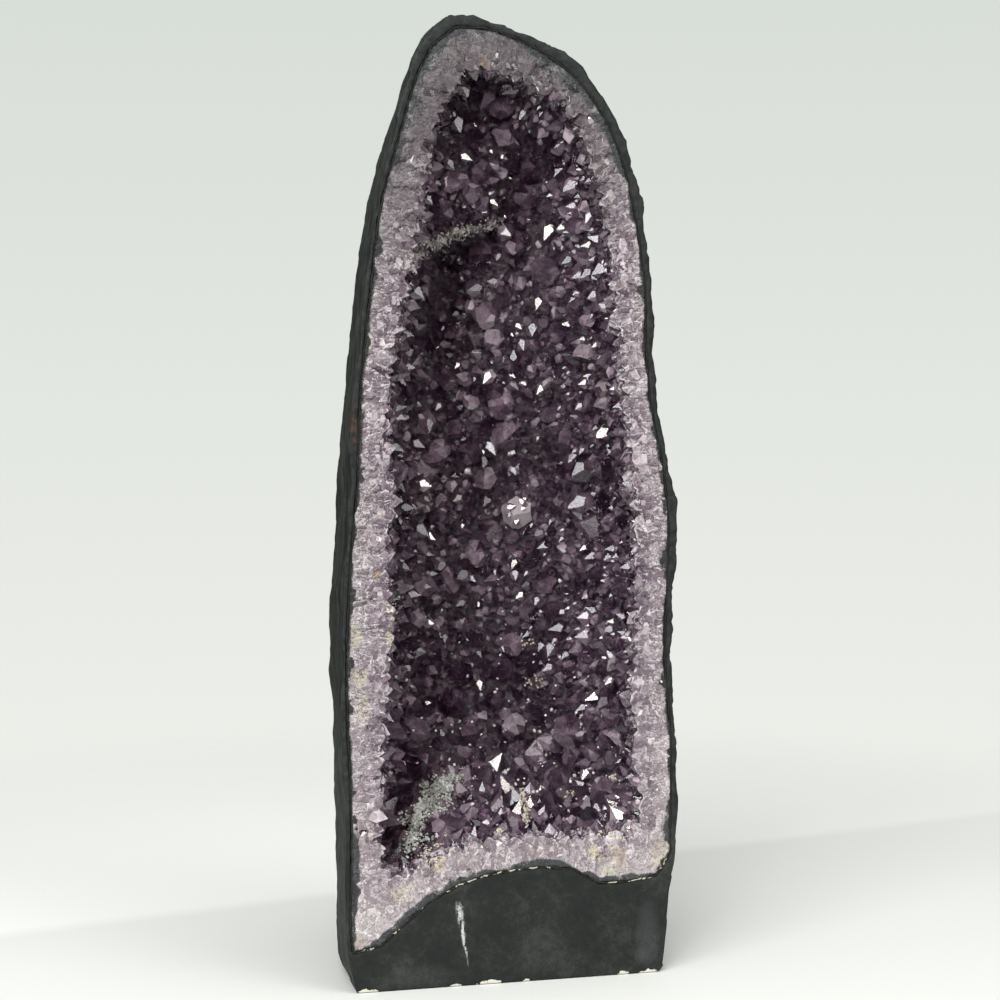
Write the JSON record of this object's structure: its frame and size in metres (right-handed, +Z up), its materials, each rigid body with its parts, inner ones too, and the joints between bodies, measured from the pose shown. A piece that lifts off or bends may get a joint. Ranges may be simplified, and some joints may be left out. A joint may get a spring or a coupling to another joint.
{
  "type": "amethyst cathedral geode",
  "caption": "Tall half geode lined with amethyst points, framed by agate, set in a painted cement jacket with a solid flat foot so that it stands upright as an ornament.",
  "frame": {"origin": "middle of the footprint's bounding box, on the floor", "axes": "+Z up from the foot to the crown, +Y from the sawn face to the rounded back, +X to the right as the sawn face is seen"},
  "size_m": [0.2184, 0.1688, 0.6],
  "materials": {
    "painted_cement": "dark green-black paint on hand-laid cement, satin",
    "amethyst": "natural amethyst and quartz points, clear and glossy, with a sawn agate rim"
  },
  "bodies": {
    "root": {"cement_jacket": "painted_cement", "amethyst_geode": "amethyst"}
  },
  "joints": []
}
